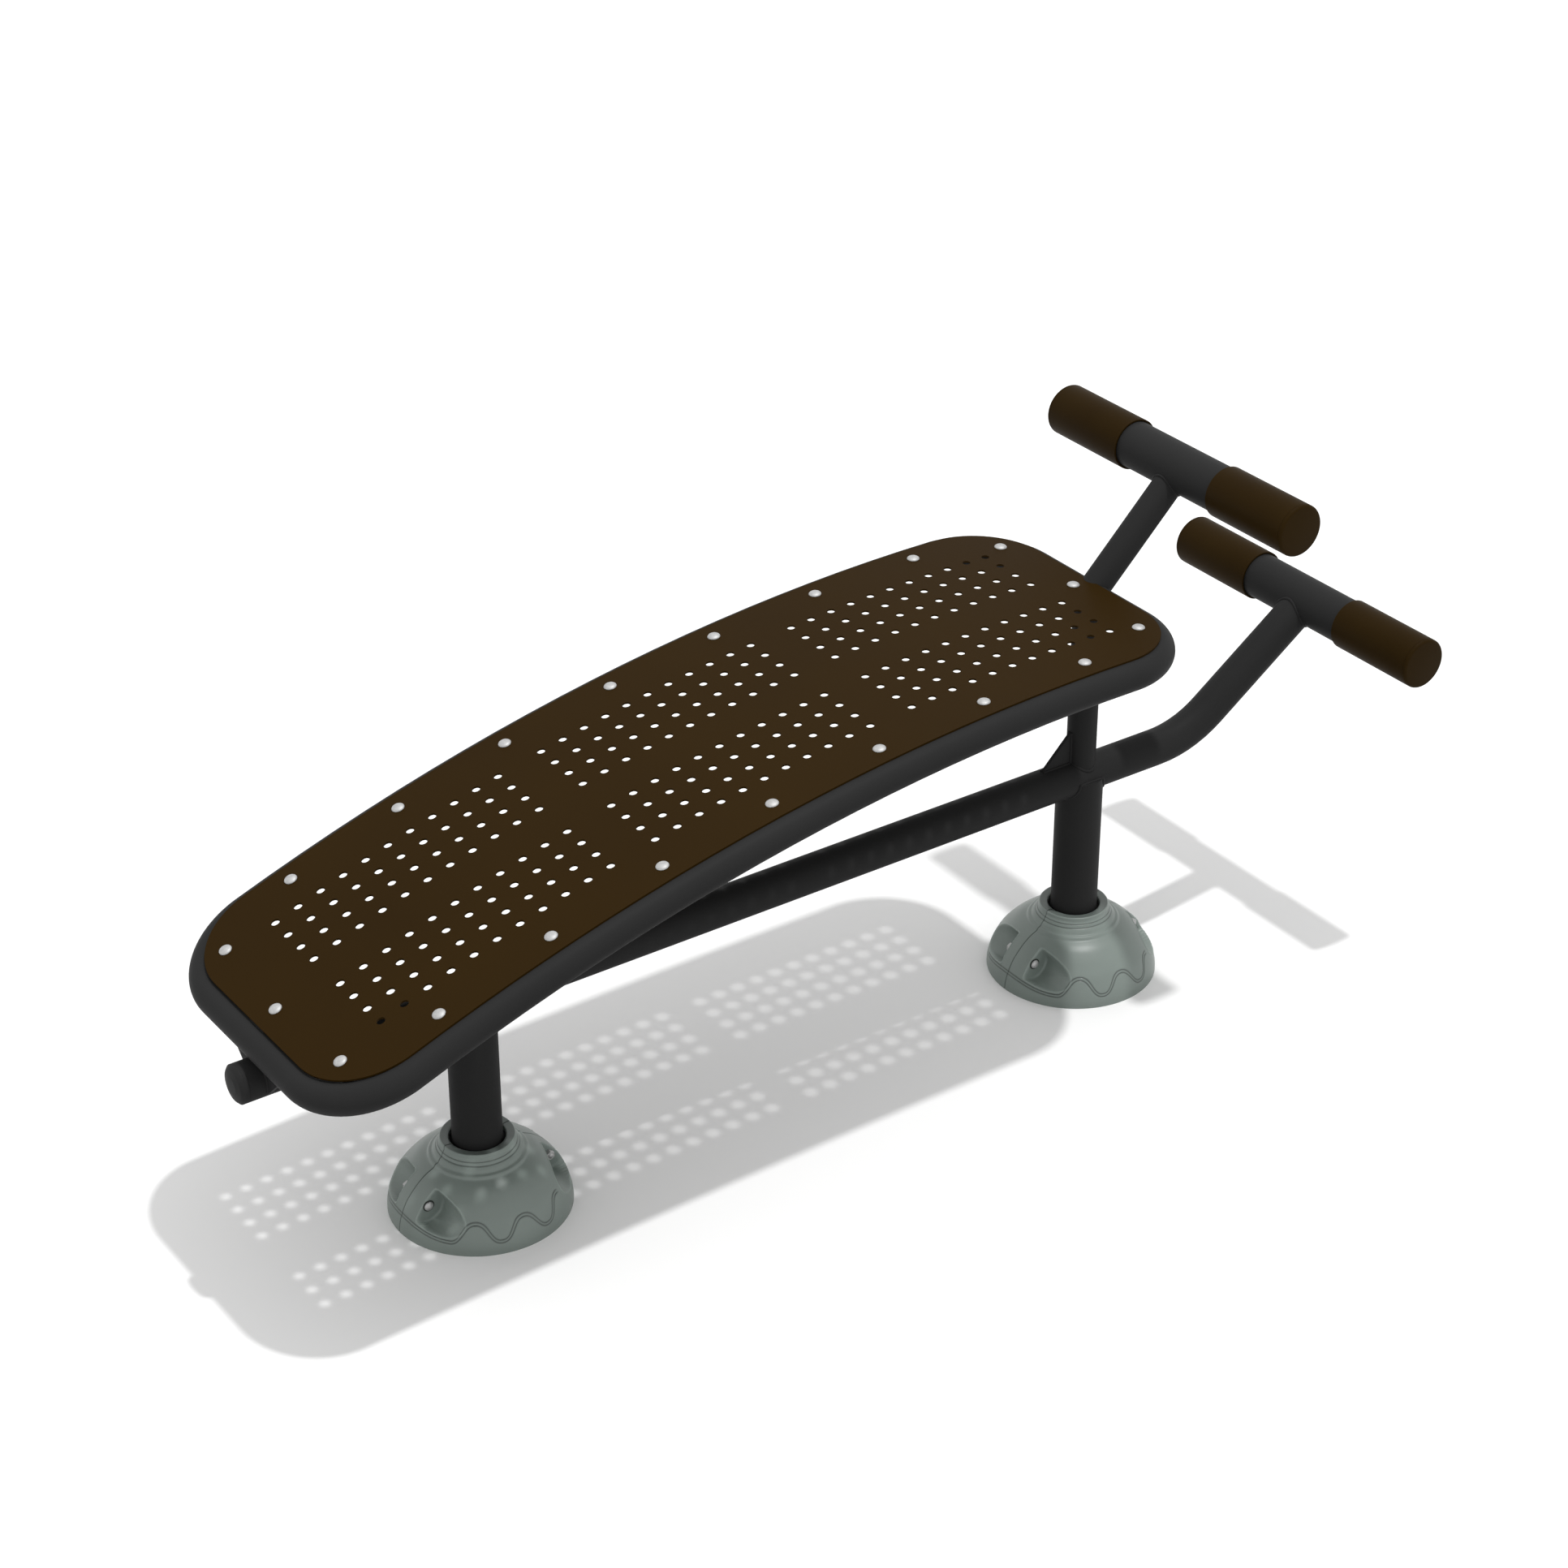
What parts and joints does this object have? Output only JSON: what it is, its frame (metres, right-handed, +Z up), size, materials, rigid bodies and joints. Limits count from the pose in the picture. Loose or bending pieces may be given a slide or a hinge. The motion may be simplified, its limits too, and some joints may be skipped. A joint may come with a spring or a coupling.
{
  "type": "sit-up bench",
  "caption": "Outdoor sit-up bench: a curved perforated steel deck on a bent tube frame, with knee and ankle rollers on cross bars and domed covers over its floor-bolted posts.",
  "frame": {"origin": "on the ground, under the middle of the bench", "axes": "+X along the bench from its low end to the ankle rollers, +Y to the left, +Z up"},
  "size_m": [2.0394, 0.561, 0.8984],
  "materials": {
    "frame_paint": "charcoal powder coat, low gloss",
    "deck_paint": "dark bronze-brown powder coat, low gloss",
    "roller_plastic": "dark brown moulded plastic, satin",
    "end_cap_plastic": "dark moulded plastic, matte",
    "cover_plastic": "grey-green moulded shell, matte",
    "seal_rubber": "black rubber, matte",
    "bright_steel": "bright zinc-plated steel",
    "base_steel": "galvanised steel plate, dull"
  },
  "bodies": {
    "bench": {"deck_bolts": "bright_steel", "deck_nuts": "bright_steel", "deck_plate": "deck_paint", "deck_tabs": "frame_paint", "deck_washers": "bright_steel", "front_base_plate": "base_steel", "front_collar_seal": "seal_rubber", "front_cover_bolts": "bright_steel", "front_cover_left_half": "cover_plastic", "front_cover_nuts": "bright_steel", "front_cover_right_half": "cover_plastic", "front_gusset": "frame_paint", "front_post": "frame_paint", "front_post_cradle": "frame_paint", "front_upper_post": "frame_paint", "high_end_hoop": "frame_paint", "left_side_rail": "frame_paint", "low_end_hoop": "frame_paint", "lower_bar_end_plates": "frame_paint", "lower_cross_bar": "frame_paint", "rear_base_plate": "base_steel", "rear_collar_seal": "seal_rubber", "rear_cover_bolts": "bright_steel", "rear_cover_left_half": "cover_plastic", "rear_cover_nuts": "bright_steel", "rear_cover_right_half": "cover_plastic", "rear_post": "frame_paint", "rear_post_cradle": "frame_paint", "rear_saddle_plate": "frame_paint", "right_side_rail": "frame_paint", "roller_bolts": "bright_steel", "roller_spacers": "bright_steel", "roller_washers": "bright_steel", "spine_end_cap": "end_cap_plastic", "spine_tube": "frame_paint", "upper_arm": "frame_paint", "upper_bar_end_plates": "frame_paint", "upper_cross_bar": "frame_paint"},
    "upper_left_roller": {"upper_left_roller_cap": "roller_plastic", "upper_left_roller_sleeve": "roller_plastic"},
    "upper_right_roller": {"upper_right_roller_cap": "roller_plastic", "upper_right_roller_sleeve": "roller_plastic"},
    "lower_left_roller": {"lower_left_roller_cap": "roller_plastic", "lower_left_roller_sleeve": "roller_plastic"},
    "lower_right_roller": {"lower_right_roller_cap": "roller_plastic", "lower_right_roller_sleeve": "roller_plastic"}
  },
  "joints": [
    {"name": "upper_left_roller_spin", "type": "hinge", "parent": "bench", "child": "upper_left_roller", "pos_m": [0.68165, 0.186, 0.85631], "axis": [0, 1, 0], "continuous": true},
    {"name": "upper_right_roller_spin", "type": "hinge", "parent": "bench", "child": "upper_right_roller", "pos_m": [0.68165, -0.186, 0.85631], "axis": [0, 1, 0], "continuous": true},
    {"name": "lower_left_roller_spin", "type": "hinge", "parent": "bench", "child": "lower_left_roller", "pos_m": [0.97755, 0.186, 0.53938], "axis": [0, 1, 0], "continuous": true},
    {"name": "lower_right_roller_spin", "type": "hinge", "parent": "bench", "child": "lower_right_roller", "pos_m": [0.97755, -0.186, 0.53938], "axis": [0, 1, 0], "continuous": true}
  ]
}
